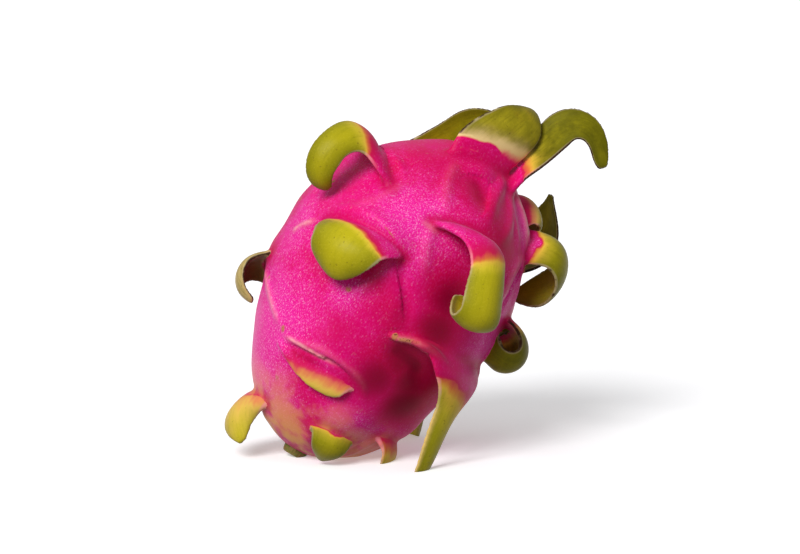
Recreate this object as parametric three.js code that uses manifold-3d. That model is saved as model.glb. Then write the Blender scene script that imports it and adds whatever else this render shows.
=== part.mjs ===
import * as THREE from 'three';
import { mergeVertices } from 'three/addons/utils/BufferGeometryUtils.js';
import Module from 'manifold-3d';

// A whole dragon fruit in millimetres, +Z up. Body, scales, flower scar and stalk stub grew as one piece, so
// they are one solid. It leans on its stem end: a small flat spot of the body and the tips of the lowest
// scales touch the ground, and the origin is the middle of the flat spot.
//
// The body is written in its growing frame: y runs from the stem end to the flower end, x to the low side
// of the lean and z to the front. height is measured along y from the widest ring, and bearing is the angle
// round y, 0 at the front and 90 on the low side.

// Body
const WIDEST_RADIUS = 46.3;
const FLOWER_REACH = 54; // height at which the flower end would close
const STEM_REACH = 84; // depth of the stem end under the widest ring
const FLOWER_POWER = 1.9;
const FLOWER_FULLNESS = 0.68; // 0.5 is an ellipse, more is a straighter cone
const BOW = 0.12; // how far the flower half leans to the low side, per mm of height
const BOW_EASE = 8;
const SIDES = 52;
const FLOWER_RINGS = 12;
const STEM_RINGS = 17;

// Flower scar: a cup at the flower end, given as radius and height above its floor
const SCAR_RIM_HEIGHT = 49.4;
const SCAR_FLOOR_HEIGHT = 43.5;
const SCAR_WALL = [[11.4, 6.8], [9.4, 6.2], [7.6, 3], [4.5, 0.6]];

// Stalk stub at the stem end
const STALK = { radius: 5, rim: 4.2, length: 2.5, sunk: 6, sides: 12 };

// Lean and rest
const LEAN_TO_SIDE = 29;
const LEAN_BACK = 8;
const PRESSED = 1.2; // how much of the body the flat spot takes away

// Scales
const ACROSS = 3; // faces across a scale
const STEPS_PER_SCALE = 7;
const TURN_PER_STEP = 26; // one more step for each of these degrees of curl
const ROOT_SUNK = 3;
const ROOT_SHARE = 0.5; // how much of a scale follows the body's roundness
const ROOT_ARCH = 3; // the root line bows towards the stem end at its sides
const ROOT_EDGE_DIP = 2.5;
const ROOT_THICK = 3.6;
const TIP_THICK = 1.3;
const EDGE_THIN = 0.7;
const LEAST_THICK = 0.9;
const LEAST_HALF_WIDTH = 0.8;
const SPINE_FINENESS = 4; // spine points for each face along a scale

// Swelling of the skin on the flower side of each scale
const SWELL = 2.2;
const SWELL_AHEAD = 5;
const SWELL_LENGTH = 8;
const SWELL_WIDTH = 0.42; // as a share of the root's width

// Each scale grows from height and bearing. headings turn from 0, flat towards the flower end, through 90,
// straight out, to 180, flat towards the stem end, and on into a curl. widths run from root to tip, sway
// turns the scale to its left or right, shift moves it aside, twist rolls it, and cup curls its edges under.
// dip is how far the corners of its root sink.
const NEAR_SCALES = {
  crest: { height: 29.2, bearing: -50.3, length: 51, headings: [86, 104, 157, 200, 244, 325],
    widths: [44, 22, 13.5, 13, 12.5], twist: [-10, -28, -40, -40], cup: 0.5, blunt: 6 },
  eye: { height: 3, bearing: -21.5, length: 31, headings: [80, 118, 165, 208, 245],
    widths: [35, 35, 31, 27, 19], sway: [0, 2, 3], cup: 0.6, blunt: 8, turn: -5,
    shift: [0, -0.3, -1.2, -2, -2] },
  hook: { height: 22, bearing: 25.5, length: 70, headings: [95, 122, 160, 178, 186, 262, 335, 352],
    widths: [38, 21, 15, 17, 18, 18, 14], sway: [0, 18, 15, 10, 5, -8, -20, -26], cup: 0.7, blunt: 8,
    shift: [0, -1, -2.5, -3, -3, -2, -1, 0], dip: 0 },
  sickle: { height: -25, bearing: -95, length: 30, headings: [80, 120, 173, 220, 268],
    widths: [34, 21, 16, 12, 7], cup: 0.7, turn: -30 },
  foot: { height: -71, bearing: -85, length: 24, headings: [95, 130, 170, 200], widths: [30, 27, 22, 10],
    twist: [-15, -40, -55], cup: 0.5, blunt: 3, turn: -25, swell: 0.6 },
  lip: { height: -48.5, bearing: -16, length: 8, headings: [100, 142, 166, 176], widths: [36, 35, 33, 26],
    sway: [0, -8, -16], blunt: 8 },
  prop: { height: -20, bearing: 59.5, length: 56, headings: [115, 150, 170, 165, 170, 205],
    widths: [60, 33, 18, 15, 14, 10], cup: 0.6, blunt: 2.6, dip: -2.5 },
  snail: { height: -4, bearing: 95, length: 57, headings: [60, 130, 230, 330, 440],
    widths: [26, 20, 19, 18, 13], cup: 1.15, blunt: 8, turn: 28 },
  handle: { height: 28, bearing: 92, length: 54.5, headings: [60, 88, 146, 184, 217, 247, 264],
    widths: [26, 16, 20, 26, 21], cup: 0.5, turn: -44, tilt: 12 },
  knuckle: { height: 40, bearing: 105, length: 27, headings: [64, 115, 172, 230, 280],
    widths: [26, 19, 18, 15, 8], cup: 0.5, turn: -33 },
  blade: { height: 20, bearing: 131, length: 44, headings: [99, 87, 32, 0, -10],
    widths: [24, 25, 26, 21, 4], cup: -0.3 },
  swan: { height: 46, bearing: 85, length: 57.5, headings: [50, 55, 76, 75, 79, 115, 164, 194, 184],
    widths: [25, 16, 16, 17, 9, 5], twist: [20, 50, 55, 55], cup: -0.4, blunt: 40,
    shift: [0, -2.6, -2.6, -1.2, 0, 0] },
  crown: { height: 47, bearing: 25, length: 35, headings: [60, 58, 46, 18, -22],
    widths: [25, 27, 24, 21, 14], sway: [6, 18, 24], cup: -0.4, shift: [-3, -3.5, -1.5, 0, 0] },
  rear: { height: 31.5, bearing: -134, length: 51, headings: [12, 2, -6, -35],
    widths: [36, 14, 9.5, 13, 11], twist: [0, -50, -50], cup: -0.4 },
  heel: { height: -39, bearing: 139, length: 31, headings: [95, 120, 128, 125, 150],
    widths: [34, 22, 18, 14, 9], cup: 0.5 },
  pad: { height: -62, bearing: 74, length: 16, headings: [80, 115, 150, 165], widths: [26, 20, 16, 10] },
};

// Rows of the growth spiral on the far side, which climb and turn by the same steps as the near ones
const ROW_CLIMB = 23;
const ROW_TURN = 65;
const FAR_ROWS = [
  { height: -67, bearing: 155, count: 2 },
  { height: -16, bearing: -156, count: 1 },
  { height: -8, bearing: 150, count: 2 },
  { height: 21, bearing: 175, count: 1 },
  { height: 46, bearing: 165, count: 1 },
  { height: -68, bearing: 22, count: 1 },
];
const FAR_LENGTH = [18, 44]; // at the stem end and at the flower end
const FAR_WIDTHS = [28, 18, 16, 13, 7];
const FAR_SPREAD = 0.15; // seeded variation of each size

// Dried remains of the flower tube round the scar
const TATTERS = { count: 5, height: 49, length: 9, widths: [11, 9, 7, 3], headings: [40, 25, 10, -20] };

const radians = THREE.MathUtils.degToRad;
const blend = THREE.MathUtils.lerp;
const smooth = (x) => THREE.MathUtils.smoothstep(x, 0, 1);

function bodyRadius(height) {
  if (height > 0) {
    const share = Math.min(1, height / FLOWER_REACH);
    return WIDEST_RADIUS * (1 - share ** FLOWER_POWER) ** FLOWER_FULLNESS;
  }
  const share = Math.min(1, -height / STEM_REACH);
  return WIDEST_RADIUS * Math.sqrt(1 - share ** 2);
}

function bowAt(height) {
  return height > 0 ? (BOW * height ** 2) / (height + BOW_EASE) : 0;
}

function skinPoint(height, bearing) {
  const angle = radians(bearing);
  const radius = bodyRadius(height);
  return new THREE.Vector3(radius * Math.sin(angle) + bowAt(height), height, radius * Math.cos(angle));
}

// Point, tangent towards the flower end, tangent round the body and outward normal
function skinFrame(height, bearing) {
  const step = 0.05;
  const side = new THREE.Vector3(Math.cos(radians(bearing)), 0, -Math.sin(radians(bearing)));
  const up = skinPoint(height + step, bearing).sub(skinPoint(height - step, bearing)).normalize();
  const out = side.clone().cross(up).normalize();
  return { point: skinPoint(height, bearing), up: out.clone().cross(side), side, out };
}

// Value at share 0 to 1 of an evenly spaced list, along a smooth curve through its numbers
function along(list, share) {
  const place = Math.min(Math.max(share, 0), 1) * (list.length - 1);
  const index = Math.min(Math.floor(place), list.length - 2);
  const part = place - index;
  const from = list[index];
  const to = list[index + 1];
  const before = index > 0 ? list[index - 1] : 2 * from - to;
  const after = index + 2 < list.length ? list[index + 2] : 2 * to - from;
  return 0.5 * (2 * from + (to - before) * part
    + (2 * before - 5 * from + 4 * to - after) * part ** 2
    + (3 * from - before - 3 * to + after) * part ** 3);
}

const turned = (first, second, angle) => first.clone().multiplyScalar(Math.cos(angle))
  .addScaledVector(second, Math.sin(angle));

function scaleSteps(scale) {
  const { headings } = scale;
  let curl = 0;
  for (let i = 1; i < headings.length; i += 1) curl += Math.abs(headings[i] - headings[i - 1]);
  return Math.round(STEPS_PER_SCALE + curl / TURN_PER_STEP);
}

// Middle line of a scale, with the direction across it and its inner-face normal at each point
function scaleSpine(scale, frame) {
  const { headings, length, sway = [0, 0], twist = [0, 0], turn = 0, tilt = 0 } = scale;
  const up = turned(frame.up, frame.side, radians(turn));
  const level = turned(frame.side, frame.up, -radians(turn));
  const side = turned(level, frame.out, radians(tilt));
  const out = turned(frame.out, level, -radians(tilt));
  const count = scaleSteps(scale) * SPINE_FINENESS;
  const point = frame.point.clone().addScaledVector(frame.out, -ROOT_SUNK);
  const spine = [];
  for (let i = 0; i <= count; i += 1) {
    const share = i / count;
    const heading = radians(along(headings, share));
    const swing = radians(along(sway, share));
    const roll = radians(along(twist, share));
    const ahead = turned(up, out, heading);
    const inner = turned(out.clone().negate(), up, heading);
    const forward = turned(ahead, side, swing);
    const across = turned(side, ahead, -swing);
    spine.push({
      point: point.clone(),
      across: turned(across, inner, roll),
      inner: turned(inner, across, -roll),
    });
    point.addScaledVector(forward, (length + ROOT_SUNK) / count);
  }
  return spine;
}

// A box bent into a scale: x across, y through its thickness, z from root to tip
function scaleGeometry(scale) {
  const frame = skinFrame(scale.height, scale.bearing);
  const bodyRound = 2 * bodyRadius(scale.height);
  const spine = scaleSpine(scale, frame);
  const steps = scaleSteps(scale);
  const {
    widths, cup: fullCup = 0.35, blunt = 4, shift = [0, 0], dip = ROOT_EDGE_DIP,
  } = scale;
  const geometry = new THREE.BoxGeometry(2, 2, steps, ACROSS, 1, steps);
  const vertices = geometry.attributes.position;
  for (let i = 0; i < vertices.count; i += 1) {
    const u = vertices.getX(i);
    const face = vertices.getY(i);
    const v = vertices.getZ(i) / steps + 0.5;
    const station = spine[Math.round(v * steps) * SPINE_FINENESS];
    const root = 1 - smooth(v / ROOT_SHARE);
    const tipRound = Math.sqrt(Math.max(0, 1 - v ** blunt));
    const half = Math.max((along(widths, v) / 2) * tipRound, LEAST_HALF_WIDTH);
    const cup = fullCup * (1 - root) + Math.sign(fullCup) * 0.001;
    const thick = blend(ROOT_THICK, TIP_THICK, v) * (1 - EDGE_THIN * u ** 2);
    const normal = turned(station.inner, station.across, u * cup);
    const place = station.point.clone()
      .addScaledVector(station.across, (half * Math.sin(u * cup)) / cup + along(shift, v))
      .addScaledVector(station.inner, (-half * (1 - Math.cos(u * cup))) / cup)
      .addScaledVector(frame.out, -root * ((half * u) ** 2 / bodyRound + dip * u ** 4))
      .addScaledVector(frame.up, -root * ROOT_ARCH * u ** 2)
      .addScaledVector(normal, (face * Math.max(thick, LEAST_THICK)) / 2);
    vertices.setXYZ(i, place.x, place.y, place.z);
  }
  return geometry;
}

// How far the skin rises over its smooth form at a place, from all the scales
function swelling(scales, height, bearing) {
  let rise = 0;
  for (const scale of scales) {
    const ahead = height - scale.height - SWELL_AHEAD;
    const round = THREE.MathUtils.euclideanModulo(bearing - scale.bearing + 180, 360) - 180;
    const aside = bodyRadius(height) * radians(round);
    const reach = scale.widths[0] * SWELL_WIDTH;
    const height0 = scale.swell ?? SWELL;
    rise = Math.max(rise, height0 * Math.exp(-((ahead / SWELL_LENGTH) ** 2) - (aside / reach) ** 2));
  }
  return rise;
}

function bodyGeometry(scales) {
  const profile = [];
  for (let i = 0; i <= STEM_RINGS; i += 1) {
    const height = -STEM_REACH * Math.cos(((Math.PI / 2) * i) / STEM_RINGS);
    profile.push(new THREE.Vector2(bodyRadius(height), height));
  }
  for (let i = 1; i <= FLOWER_RINGS; i += 1) {
    const height = SCAR_RIM_HEIGHT * Math.sin(((Math.PI / 2) * i) / FLOWER_RINGS);
    profile.push(new THREE.Vector2(bodyRadius(height), height));
  }
  for (const [radius, rise] of SCAR_WALL) profile.push(new THREE.Vector2(radius, SCAR_FLOOR_HEIGHT + rise));
  profile.push(new THREE.Vector2(0, SCAR_FLOOR_HEIGHT));
  profile[0].x = 0;
  const geometry = new THREE.LatheGeometry(profile, SIDES);
  const vertices = geometry.attributes.position;
  for (let i = 0; i < vertices.count; i += 1) {
    const place = new THREE.Vector3().fromBufferAttribute(vertices, i);
    const radius = Math.hypot(place.x, place.z);
    const bearing = THREE.MathUtils.radToDeg(Math.atan2(place.x, place.z));
    if (radius >= bodyRadius(place.y) - 0.01 && radius > 1) {
      place.addScaledVector(skinFrame(place.y, bearing).out, swelling(scales, place.y, bearing));
    }
    vertices.setXYZ(i, place.x + bowAt(place.y), place.y, place.z);
  }
  return geometry;
}

function stalkGeometry() {
  const end = -STEM_REACH - STALK.length;
  const profile = [[0, end + 0.6], [STALK.rim - 1, end + 0.4], [STALK.rim, end],
    [STALK.radius, end + 0.8], [STALK.radius, STALK.sunk - STEM_REACH], [0, STALK.sunk - STEM_REACH]];
  return new THREE.LatheGeometry(profile.map(([x, y]) => new THREE.Vector2(x, y)), STALK.sides);
}

const wasm = await Module();
wasm.setup();

function solidFrom(geometry) {
  geometry.deleteAttribute('normal');
  geometry.deleteAttribute('uv');
  const merged = mergeVertices(geometry, 1e-4);
  return new wasm.Manifold(new wasm.Mesh({
    numProp: 3,
    vertProperties: new Float32Array(merged.attributes.position.array),
    triVerts: new Uint32Array(merged.index.array),
  }));
}

function geometryFrom(solid) {
  const { vertProperties, triVerts } = solid.getMesh();
  const geometry = new THREE.BufferGeometry();
  geometry.setAttribute('position', new THREE.BufferAttribute(new Float32Array(vertProperties), 3));
  geometry.setIndex(new THREE.BufferAttribute(new Uint32Array(triVerts), 1));
  geometry.computeVertexNormals();
  return geometry;
}

// Seeded draws, so that every build is the same
function drawing(seed) {
  let state = seed;
  return () => {
    state = (state * 1664525 + 1013904223) % 4294967296;
    return state / 4294967296;
  };
}

// Low scales are short and lie back at once, high ones are long, stand off and curl more slowly
function farScale(height, bearing, draw) {
  const share = (height + STEM_REACH) / (FLOWER_REACH + STEM_REACH);
  const size = 1 + FAR_SPREAD * (2 * draw() - 1);
  const start = blend(100, 55, share);
  const end = blend(180, 235, draw()) - 60 * Math.max(0, share - 0.8) * 5;
  return {
    height,
    bearing,
    length: blend(FAR_LENGTH[0], FAR_LENGTH[1], share) * size,
    headings: [0, 0.3, 0.65, 0.9, 1].map((part) => blend(start, end, part)),
    widths: FAR_WIDTHS.map((width) => width * size),
    sway: [0, blend(-15, 15, draw())],
    turn: blend(-10, 10, draw()),
    cup: blend(0.3, 0.8, draw()),
  };
}

function farScales() {
  const draw = drawing(7);
  const found = [];
  for (const row of FAR_ROWS) {
    for (let i = 0; i < row.count; i += 1) {
      found.push(farScale(row.height + i * ROW_CLIMB, row.bearing + i * ROW_TURN, draw));
    }
  }
  return found;
}

function tatters() {
  const draw = drawing(11);
  const found = [];
  for (let i = 0; i < TATTERS.count; i += 1) {
    const size = 1 + 2 * FAR_SPREAD * (2 * draw() - 1);
    found.push({
      height: TATTERS.height,
      bearing: ((i + 0.3 * draw()) * 360) / TATTERS.count,
      length: TATTERS.length * size,
      headings: TATTERS.headings.map((heading) => heading + blend(-10, 10, draw())),
      widths: TATTERS.widths,
      cup: -0.4,
      swell: 0,
    });
  }
  return found;
}

const scales = [...Object.values(NEAR_SCALES), ...farScales(), ...tatters()];
let grown = solidFrom(bodyGeometry(scales)).add(solidFrom(stalkGeometry()));
for (const scale of scales) grown = grown.add(solidFrom(scaleGeometry(scale)));

const lean = new THREE.Matrix4().makeRotationX(-radians(LEAN_BACK))
  .multiply(new THREE.Matrix4().makeRotationY(radians(LEAN_TO_SIDE)))
  .multiply(new THREE.Matrix4().makeRotationX(Math.PI / 2));

// The lowest point of the leaning body
function lowestSpot() {
  let lowest = new THREE.Vector3(0, 0, Infinity);
  for (let height = -STEM_REACH; height < 0; height += 0.5) {
    for (let bearing = 0; bearing < 360; bearing += 1) {
      const place = skinPoint(height, bearing).applyMatrix4(lean);
      if (place.z < lowest.z) lowest = place;
    }
  }
  return lowest;
}

const spot = lowestSpot();
const settled = geometryFrom(grown).applyMatrix4(lean).translate(-spot.x, -spot.y, -spot.z - PRESSED);
const GROUND = 300;
const ground = new THREE.BoxGeometry(GROUND, GROUND, GROUND).translate(0, 0, -GROUND / 2);
const fruit = new THREE.Mesh(
  geometryFrom(solidFrom(settled).subtract(solidFrom(ground))),
  new THREE.MeshStandardMaterial({ color: 0xd8156f, roughness: 0.42, metalness: 0 }),
);
fruit.name = 'fruit';

const dragonFruit = new THREE.Group();
dragonFruit.add(fruit);
export default dragonFruit;
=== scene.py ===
"""A whole dragon fruit on a pale floor: one rind of body and leaf-like scales, the dried remains of its
flower and its stalk stub. Everything is in metres; the values below are in millimetres and degrees."""

import math
from collections import namedtuple
from contextlib import contextmanager

import bpy
import numpy as np
from mathutils import Matrix, Vector, kdtree


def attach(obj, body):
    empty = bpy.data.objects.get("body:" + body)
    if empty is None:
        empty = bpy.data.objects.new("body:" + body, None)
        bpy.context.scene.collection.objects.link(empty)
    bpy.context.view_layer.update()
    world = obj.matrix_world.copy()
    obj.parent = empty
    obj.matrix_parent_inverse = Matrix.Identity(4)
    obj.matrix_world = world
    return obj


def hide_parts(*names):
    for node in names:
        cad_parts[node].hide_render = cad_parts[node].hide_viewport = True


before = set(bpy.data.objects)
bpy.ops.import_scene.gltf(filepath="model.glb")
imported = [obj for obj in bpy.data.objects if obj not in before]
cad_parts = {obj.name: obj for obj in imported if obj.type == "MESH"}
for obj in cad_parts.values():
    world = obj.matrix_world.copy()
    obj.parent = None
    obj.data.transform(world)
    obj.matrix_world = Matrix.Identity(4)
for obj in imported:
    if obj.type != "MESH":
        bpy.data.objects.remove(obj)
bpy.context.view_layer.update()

MM = 0.001

# The fruit grows upright: Z runs from the stem end to the flower end, X is the low side of its lean and -Y
# the front. height is measured from the widest ring, and bearing is the angle round Z, 0 at the front and
# 90 on the low side.
WIDEST_RADIUS = 46.3
FLOWER_REACH = 54
STEM_REACH = 84
FLOWER_POWER = 1.9
FLOWER_FULLNESS = 0.68
BOW = 0.12
BOW_EASE = 8
LEAN_TO_SIDE = 29
LEAN_BACK = 8
PRESSED = 1.2

# The body's rings, and the wall of the scar on its flower end: radius and height over the scar's floor
BODY_SIDES = 120
STEM_RINGS = 48
FLOWER_RINGS = 34
SCAR_RIM_HEIGHT = 49.4
SCAR_FLOOR_HEIGHT = 43.5
SCAR_WALL = [(11.4, 6.8), (10.4, 6.9), (9.4, 6.2), (8.4, 4.6), (7.6, 3), (6.2, 1.3), (4.5, 0.6),
             (2.2, 0.1)]

# How every scale is built up: its root under the skin, its thickness, and its rows
ROOT_SUNK = 3
ROOT_SHARE = 0.5
ROOT_ARCH = 3
ROOT_THICK = 3.6
TIP_THICK = 1.3
EDGE_THIN = 0.5
LEAST_THICK = 1.2
EDGE_GAIN = 0.9  # what rounding the edges takes away again
EDGE_GAIN_OVER = 0.25
LEAST_HALF_WIDTH = 0.8
LEAST_ARCH = 0.06
STEPS_PER_SCALE = 14
TURN_PER_STEP = 13
SPINE_FINENESS = 3
TIP_CUTS = (0.5, 0.18, 0.04)  # what is left of the last step at its finer rows, so that the tip is round
CIRCLE_SIDES = 36
GRAIN_UNIT = 100
ROW_ARC = 30  # degrees each side of the arc that a row starts from

# How the skin rises ahead of a root; the width is a share of the root's
SWELL = 2.2
SWELL_AHEAD = 5
SWELL_LENGTH = 8
SWELL_WIDTH = 0.42

# Each scale grows from height and bearing. headings turn from 0, flat towards the flower end, through
# 90, straight out, to 180, flat towards the stem end, and on into a curl. widths run from root to tip,
# sway turns the scale aside, shift moves it aside, twist rolls it, and cup curls its edges under. turn
# slants its root, tilt leans it sideways, dip is how far its root's corners sink, blunt how square its
# tip is, and swell how high the skin rises ahead of it. green is where along it the pink ends and where
# the green is full, skew how much sooner they do at the edge of higher bearing, and cream how pale the
# change between them is. dry is how old the scale looks, tan how papery, and seam how tan an edge is.
# ribs are how far the ridges stand out that run down from its corners, and melt softens its root into
# the skin. Pairs give the edge of lower bearing first.
PLAIN_SCALE = dict(sway=[0, 0], shift=[0, 0], twist=[0, 0], cup=0.35, turn=0, tilt=0, dip=2.5, blunt=4,
                   swell=SWELL, skew=0, cream=0, dry=0.2, tan=0, seam=(0, 0), ribs=(1, 1), melt=False)


def new_scale(height, bearing, length, headings, widths, **special):
    return PLAIN_SCALE | dict(height=height, bearing=bearing, length=length, headings=headings,
                              widths=widths) | special


SCALES = {
    "crest": new_scale(
        29.2, -50.3, 51, [86, 104, 157, 200, 244, 325], [44, 22, 13.5, 13, 12.5],
        twist=[-10, -28, -40, -40], cup=0.5, blunt=6, green=(0.33, 0.45), dry=0.27),
    "eye": new_scale(
        3, -21.5, 31, [80, 118, 165, 208, 245], [35, 35, 31, 27, 19], sway=[0, 2, 3],
        shift=[0, -0.3, -1.2, -2, -2], cup=0.6, turn=-5, blunt=8, green=(0.3, 0.38), skew=-0.2, dry=0.0),
    "hook": new_scale(
        22, 25.5, 70, [95, 122, 160, 178, 186, 262, 335, 352], [38, 21, 15, 17, 18, 18, 14],
        sway=[0, 18, 15, 10, 5, -8, -20, -26], shift=[0, -1, -2.5, -3, -3, -2, -1, 0], cup=0.7, blunt=8,
        dip=0, green=(0.3, 0.41), skew=0.03, dry=0.0),
    "sickle": new_scale(
        -25, -95, 30, [80, 120, 173, 220, 268], [34, 21, 16, 12, 7], cup=0.7, turn=-30,
        green=(0.12, 0.35), dry=0.85, tan=0.8, ribs=(0, 0.4)),
    "foot": new_scale(
        -71, -85, 24, [95, 130, 170, 200], [30, 27, 22, 10], twist=[-15, -40, -55], cup=0.5, blunt=3,
        turn=-25, swell=0.6, green=(0.17, 1.3), cream=0.2, dry=0.3),
    "lip": new_scale(
        -48.5, -16, 8, [100, 142, 166, 176], [36, 35, 33, 26], sway=[0, -8, -16], blunt=8,
        green=(0.64, 1.9), cream=0.15, skew=0.4, dry=(0.8, 0.1), ribs=(0, 0)),
    "prop": new_scale(
        -20, 59.5, 56, [115, 150, 170, 165, 170, 205], [60, 33, 18, 15, 14, 10], cup=0.6, blunt=2.6,
        dip=-2.5, green=(0.27, 0.62), skew=-0.08, ribs=(0, 1), seam=(1, 0), melt=True),
    "snail": new_scale(
        -4, 95, 57, [60, 130, 230, 330, 440], [26, 20, 19, 18, 13], cup=1.15, blunt=8, turn=28,
        green=(0.16, 0.32), dry=0.6),
    "handle": new_scale(
        28, 92, 54.5, [60, 88, 146, 184, 217, 247, 264], [26, 16, 20, 26, 21], cup=0.5, turn=-44, tilt=12,
        green=(0.15, 0.3), dry=0.4),
    "knuckle": new_scale(
        40, 105, 27, [64, 115, 172, 230, 280], [26, 19, 18, 15, 8], cup=0.5, turn=-33, green=(0.3, 0.6),
        cream=0.3, dry=0.4),
    "blade": new_scale(
        20, 131, 44, [99, 87, 32, 0, -10], [24, 25, 26, 21, 4], cup=-0.3, green=(0.15, 0.35), dry=0.75),
    "swan": new_scale(
        46, 85, 57.5, [50, 55, 76, 75, 79, 115, 164, 194, 184], [25, 16, 16, 17, 9, 5],
        shift=[0, -2.6, -2.6, -1.2, 0, 0], twist=[20, 50, 55, 55], cup=-0.4, blunt=40, green=(0.2, 0.5),
        dry=0.8),
    "crown": new_scale(
        47, 25, 35, [60, 58, 46, 18, -22], [25, 27, 24, 21, 14], sway=[6, 18, 24],
        shift=[-3, -3.5, -1.5, 0, 0], cup=-0.4, green=(0.28, 0.6), skew=-0.16, cream=1, dry=0.55,
        melt=True),
    "rear": new_scale(
        31.5, -134, 51, [12, 2, -6, -35], [36, 14, 9.5, 13, 11], twist=[0, -50, -50], cup=-0.4,
        green=(0.02, 0.12), dry=0.55),
    "heel": new_scale(
        -39, 139, 31, [95, 120, 128, 125, 150], [34, 22, 18, 14, 9], cup=0.5, green=(0.2, 0.5)),
    "pad": new_scale(
        -62, 74, 16, [80, 115, 150, 165], [26, 20, 16, 10], green=(0.3, 1.4)),
}

# Ridges and creases of the skin: each follows points of height and bearing, rises or sinks by rise and is
# width to each side. Its last three fields are how much of a light line, a corky brown line or a darker red
# it carries. The light line is partly the skin's own pale line and partly painted highlight and painted
# reflection along ridges; the darker red is painted shade in creases and hollows. DECURRENT is for the
# ridges that run down from the corners of a root.
Line = namedtuple("Line", "path rise width pale scar deep", defaults=(0, 0, 0))
SKIN_LINES = [
    Line([(-11, -65), (-6, -57), (-1, -46)], 0.7, 1.4, pale=0.7, scar=0.3),
    Line([(0, -47), (7, -34), (9, -20), (6, -6), (1, 2)], 1.7, 3.2),
    Line([(9, -18), (7, -10), (5, -5)], 0.3, 0.9, scar=0.8),
    Line([(0, -2), (-6, 6), (-13, 13), (-20, 20)], -1.0, 2.2),
    Line([(0, -6), (-8, 1), (-16, 8), (-24, 12)], 0.9, 3.4),
    Line([(-27, -87), (-32, -71), (-40, -52), (-45, -41)], 0.9, 1.6, pale=0.45, scar=0.2),
    Line([(17, -3), (16, 4), (15, 10)], 0.7, 1.4, scar=0.3, pale=0.2),
    Line([(25, 86), (16, 71), (8, 68), (-2, 66)], -0.9, 1.8),
    Line([(27, 78), (18, 65), (8, 61), (-4, 58)], 1.0, 3.0, pale=0.25),
    # painted reflection: the pale lilac line down this ridge on the right side
    Line([(46, 74), (40, 78), (33, 78), (25, 80)], 1.3, 2.6, pale=0.8),
    Line([(48, 52), (42, 40), (35, 32), (26, 28)], 1.4, 2.8),
    # painted shade: darker red in this crease by the crown
    Line([(41, 13), (37, 20), (32, 27)], -1.2, 4.5, deep=0.7),
    Line([(36, -76), (34, -52), (31, -34), (25, -22)], 1.1, 2.2, scar=0.15),
    Line([(-47, -40), (-45, -22), (-44, -4), (-47, 14), (-54, 24)], 1.0, 1.6, pale=0.1),
    Line([(-49, -36), (-47, -20), (-46, -4), (-49, 12)], -0.8, 1.2),
    Line([(-27, 12), (-26, 18), (-24, 26), (-24, 34), (-26, 43), (-30, 51)], 1.9, 1.5, pale=0.5, scar=0.9),
    # painted shade: darker red in the hollow under the prop's lifted edge
    Line([(-30, 15), (-31, 26), (-33, 38), (-40, 50)], -2.0, 5.0, deep=1.05),
    # painted highlight: the light line along the sharp fold above the lip
    Line([(-46, -42), (-46, -31), (-46, -20), (-46, -8), (-46, 4)], 0.9, 1.0, pale=0.9),
    # painted shade: darker red in the groove under the fold above the lip
    Line([(-50, -34), (-49.5, -20), (-49.5, -6)], 0, 3.2, deep=0.55),
    Line([(18, -84), (25, -76), (30, -64), (32, -50), (30, -38)], 2.2, 5),
    Line([(41, -26), (43, -10), (44, 6), (45, 22), (46, 38)], 1.0, 4),
]
DECURRENT = dict(rise=0.9, width=2.6, length=26, apart=0.42, closing=(1, 0.8, 0.45), pale=0.06)
LINE_SPACING = 0.7
LINE_FADES_IN = 0.25
LINE_FADES_OUT = 0.35
LINE_REACH = 2.6  # widths of the line, past which it doesn't count
SKIN_DEPTH = 3  # past which a point belongs to a scale
POINTS_AT_ONCE = 20000

# Corky scars and scuffs: height, bearing, radius and how ring-like each is
SCARS = [(-26, 16, 1.1, 1), (-19, -15, 1.5, 0), (-44, -41, 1.8, 0), (31, -36, 1.3, 0), (-62, -38, 1.4, 0),
         (14, -60, 1.2, 0), (22, 30, 0.9, 0), (-12, 40, 0.9, 0), (-30, -70, 1.0, 0), (2, -78, 1.3, 0),
         (30, 150, 1.8, 0), (-8, -140, 1.6, 1), (-40, 110, 1.5, 0), (5, 178, 1.4, 0), (-25, 165, 1.2, 0)]

# Pale bloom of the skin, partly its own wax bloom and partly painted highlight on the lit front and left
# and painted reflection down the right side, then darker crimson painted as shade: height, bearing, reach
# and strength
BLOOM_AND_HIGHLIGHT = [(15, -4, 19, 1.0), (-8, -62, 17, 0.9), (-42, -56, 24, 1.2), (-62, -62, 22, 1.0),
         (-22, -16, 9, 0.9), (34, 76, 12, 0.8), (10, 72, 15, 0.7), (-14, 70, 15, 0.9), (-30, 70, 12, 0.6),
         (28, -62, 16, 0.5), (-50, -10, 16, 0.3), (8, 130, 24, 0.7), (-36, 120, 22, 0.8),
         (-4, -150, 26, 0.8), (-48, -150, 24, 0.9), (30, -150, 20, 0.5), (20, 176, 20, 0.6),
         (-60, 40, 20, 0.7)]
# painted shade: darker crimson spots in the hollows under the scales, round the crown and on the lit top
PAINTED_SHADE_SPOTS = [(40, -22, 13, 0.3), (36, 12, 9, 0.35), (24, 46, 12, 0.6), (-4, 30, 13, 0.9), (-16, 32, 13, 0.9),
        (-18, 12, 12, 0.5), (14, 38, 8, 0.5), (-33, 27, 13, 0.9), (-38, 40, 15, 0.95), (-47, 45, 13, 1.0),
        (-43, 20, 13, 0.9), (-49, 10, 9, 0.6), (-35, -8, 12, 0.35), (-12, 2, 8, 0.4), (12, -100, 14, 0.5),
        (-20, 160, 16, 0.5), (34, 140, 14, 0.5)]
# painted shade: darker red round the roots of the scales, where the skin lies in their axils
AXIL_PAINTED_SHADE = 0.55  # round the roots of the scales
AXIL_REACH = 5
STEM_YELLOW_BELOW = -56
STEM_YELLOW_OVER = 26

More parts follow.
